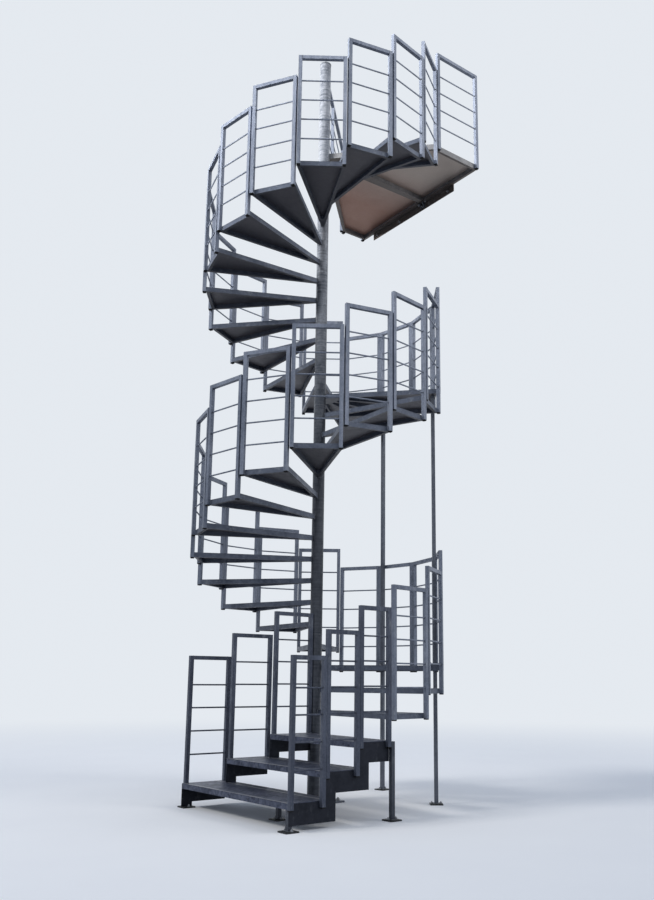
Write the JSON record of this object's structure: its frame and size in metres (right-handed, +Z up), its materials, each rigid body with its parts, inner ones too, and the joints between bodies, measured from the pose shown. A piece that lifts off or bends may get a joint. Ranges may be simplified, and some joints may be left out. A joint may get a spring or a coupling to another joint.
{
  "type": "outdoor spiral stair tower",
  "caption": "Open steel spiral stair with a central column, flared entry steps, quarter landings, barred side panels and a top platform that meets a building wall.",
  "frame": {"origin": "centre of the underside of the column's base plate, on the ground", "axes": "+Z up along the column, -Y towards the foot of the entry steps (the front), +X to the right seen from the front"},
  "size_m": [2.4984, 3.0583, 6.7],
  "materials": {
    "column_steel": "hot-dip galvanised, mottled",
    "tread_steel": "hot-dip galvanised sheet, dull",
    "frame_steel": "hot-dip galvanised, dull",
    "rail_steel": "hot-dip galvanised tube, dull"
  },
  "bodies": {
    "root": {"column": "column_steel", "column_base": "frame_steel", "column_cap": "column_steel", "entry_steps": "tread_steel", "entry_side_left": "frame_steel", "entry_side_right": "frame_steel", "entry_rail_left": "rail_steel", "entry_rail_right": "rail_steel", "entry_feet": "frame_steel", "winder_treads": "tread_steel", "winder_rails": "rail_steel", "lower_landing_frame": "frame_steel", "lower_landing_deck": "tread_steel", "lower_landing_rails": "rail_steel", "lower_treads_a": "tread_steel", "lower_treads_b": "tread_steel", "lower_treads_c": "tread_steel", "lower_rails_a": "rail_steel", "lower_rails_b": "rail_steel", "lower_rails_c": "rail_steel", "mid_landing_frame": "frame_steel", "mid_landing_deck": "tread_steel", "mid_landing_rails": "rail_steel", "upper_treads_a": "tread_steel", "upper_treads_b": "tread_steel", "upper_treads_c": "tread_steel", "upper_rails_a": "rail_steel", "upper_rails_b": "rail_steel", "upper_rails_c": "rail_steel", "platform_frame": "frame_steel", "platform_deck": "tread_steel", "platform_front_rail": "rail_steel", "platform_side_rail": "rail_steel", "platform_back_rail": "rail_steel", "wall_ledger": "frame_steel", "entry_leg": "frame_steel", "lower_legs": "frame_steel", "upper_legs": "frame_steel"}
  },
  "joints": []
}
